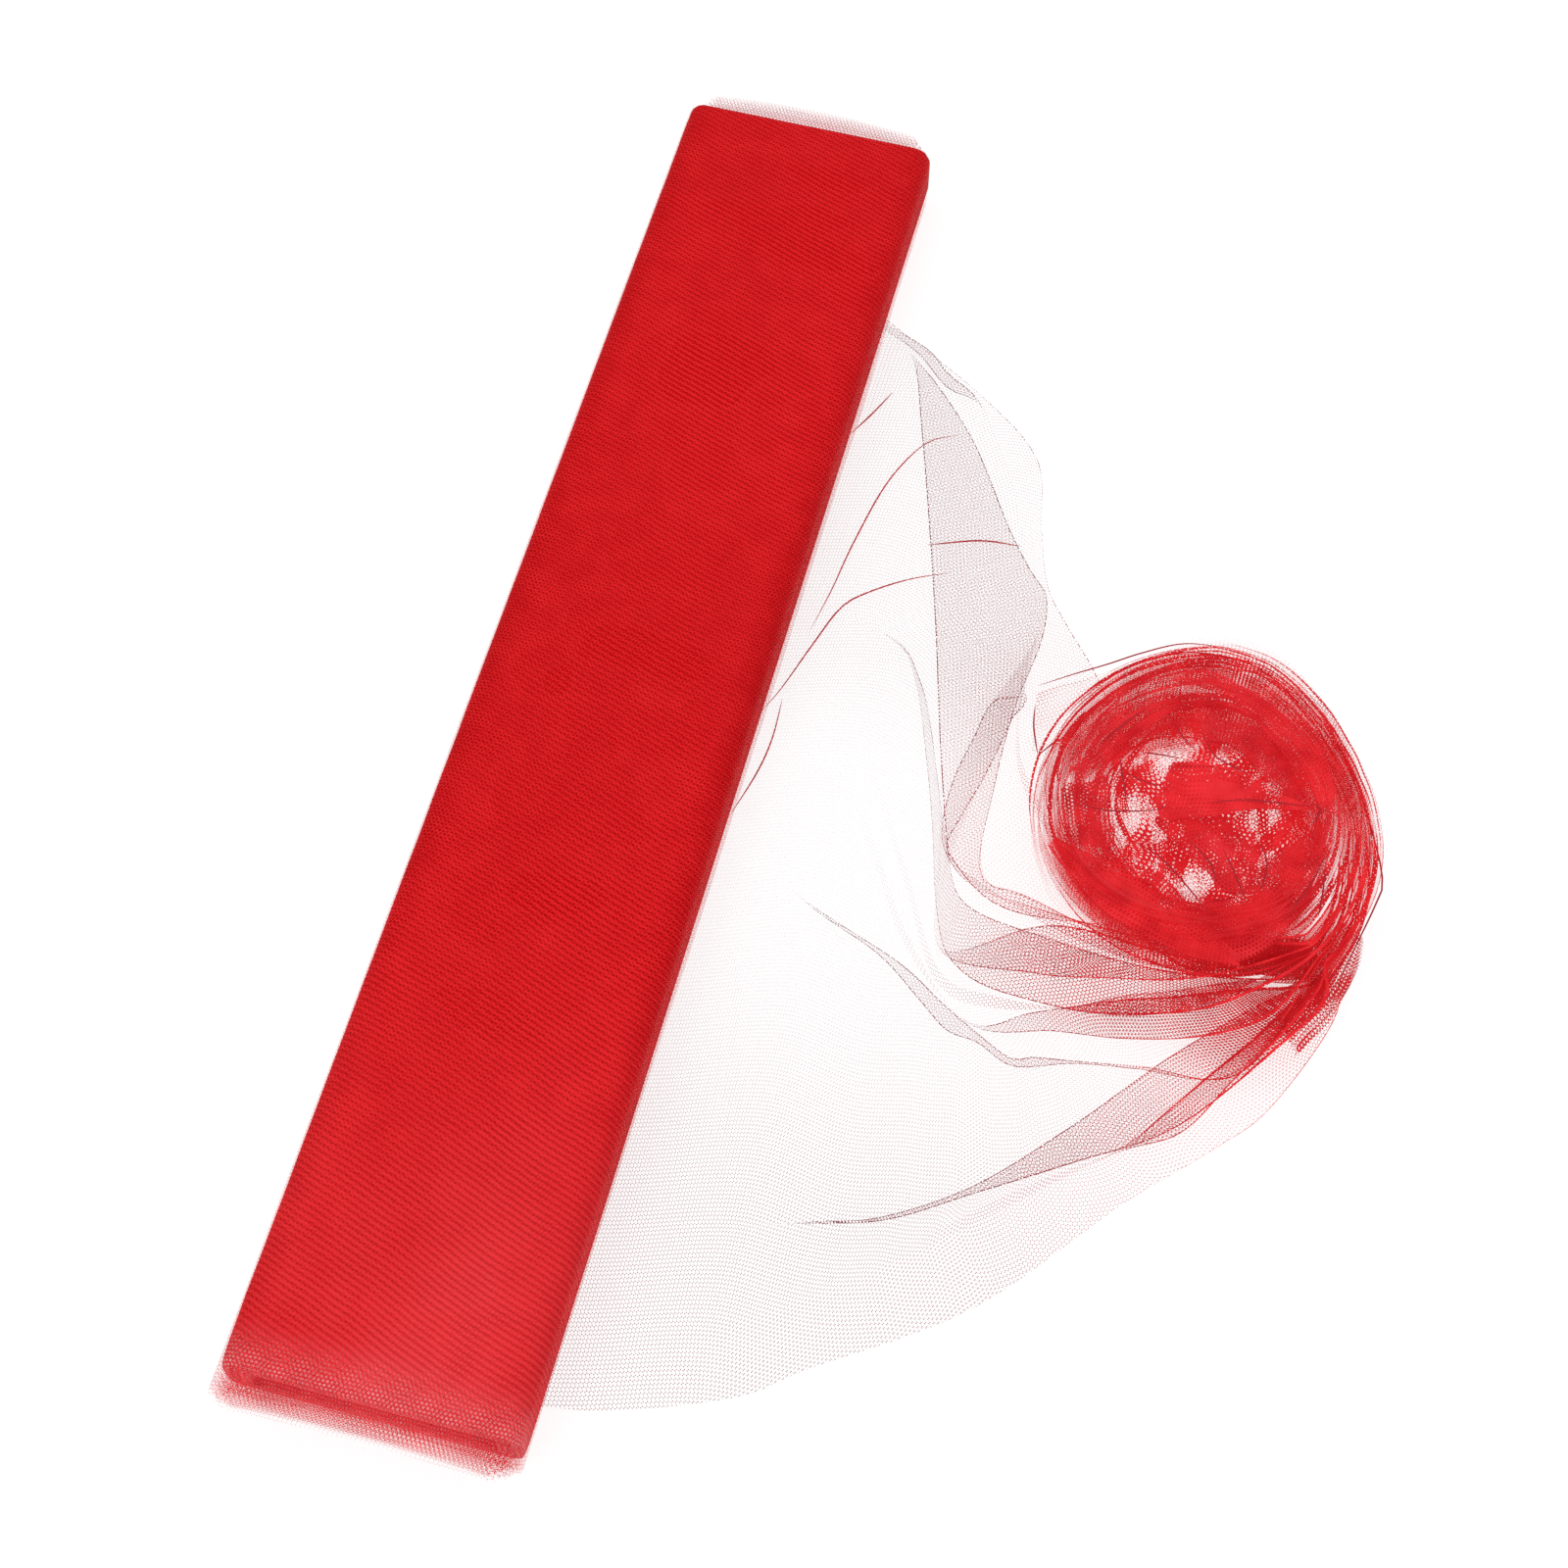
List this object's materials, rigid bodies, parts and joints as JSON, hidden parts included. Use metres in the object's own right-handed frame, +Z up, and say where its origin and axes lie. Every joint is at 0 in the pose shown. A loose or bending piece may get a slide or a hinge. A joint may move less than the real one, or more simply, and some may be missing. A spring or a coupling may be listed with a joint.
{
  "type": "fabric bolt",
  "caption": "Flat bolt of netting wound on a folded card board, its free end drawn off, fanned on the table and coiled into a rosette.",
  "frame": {"origin": "on the table, middle of the underside of the netting layer that lies under the middle of the bolt", "axes": "+Y along the bolt, +X across it towards the drawn netting, +Z up"},
  "size_m": [0.4207, 0.7, 0.042],
  "materials": {
    "red_netting": "sheer red netting, many layers reading as solid red",
    "brown_card": "uncoated brown corrugated card",
    "paper_tape": "gummed kraft paper tape",
    "start_tape": "creped cream paper tape"
  },
  "bodies": {
    "table_netting": {"drawn_netting": "red_netting", "gathered_strand": "red_netting", "rosette_coil": "red_netting", "rosette_heart": "red_netting"},
    "bolt": {"wound_netting": "red_netting", "core_outer_liner": "brown_card", "core_fluting": "brown_card", "core_inner_liner": "brown_card", "core_seam_tape": "paper_tape", "starting_tape": "start_tape"}
  },
  "joints": [
    {"name": "bolt_turn", "type": "hinge", "parent": "table_netting", "child": "bolt", "pos_m": [-0.0515, 0, 0.0145], "axis": [0, -1, 0], "range_deg": [0, 90]}
  ]
}
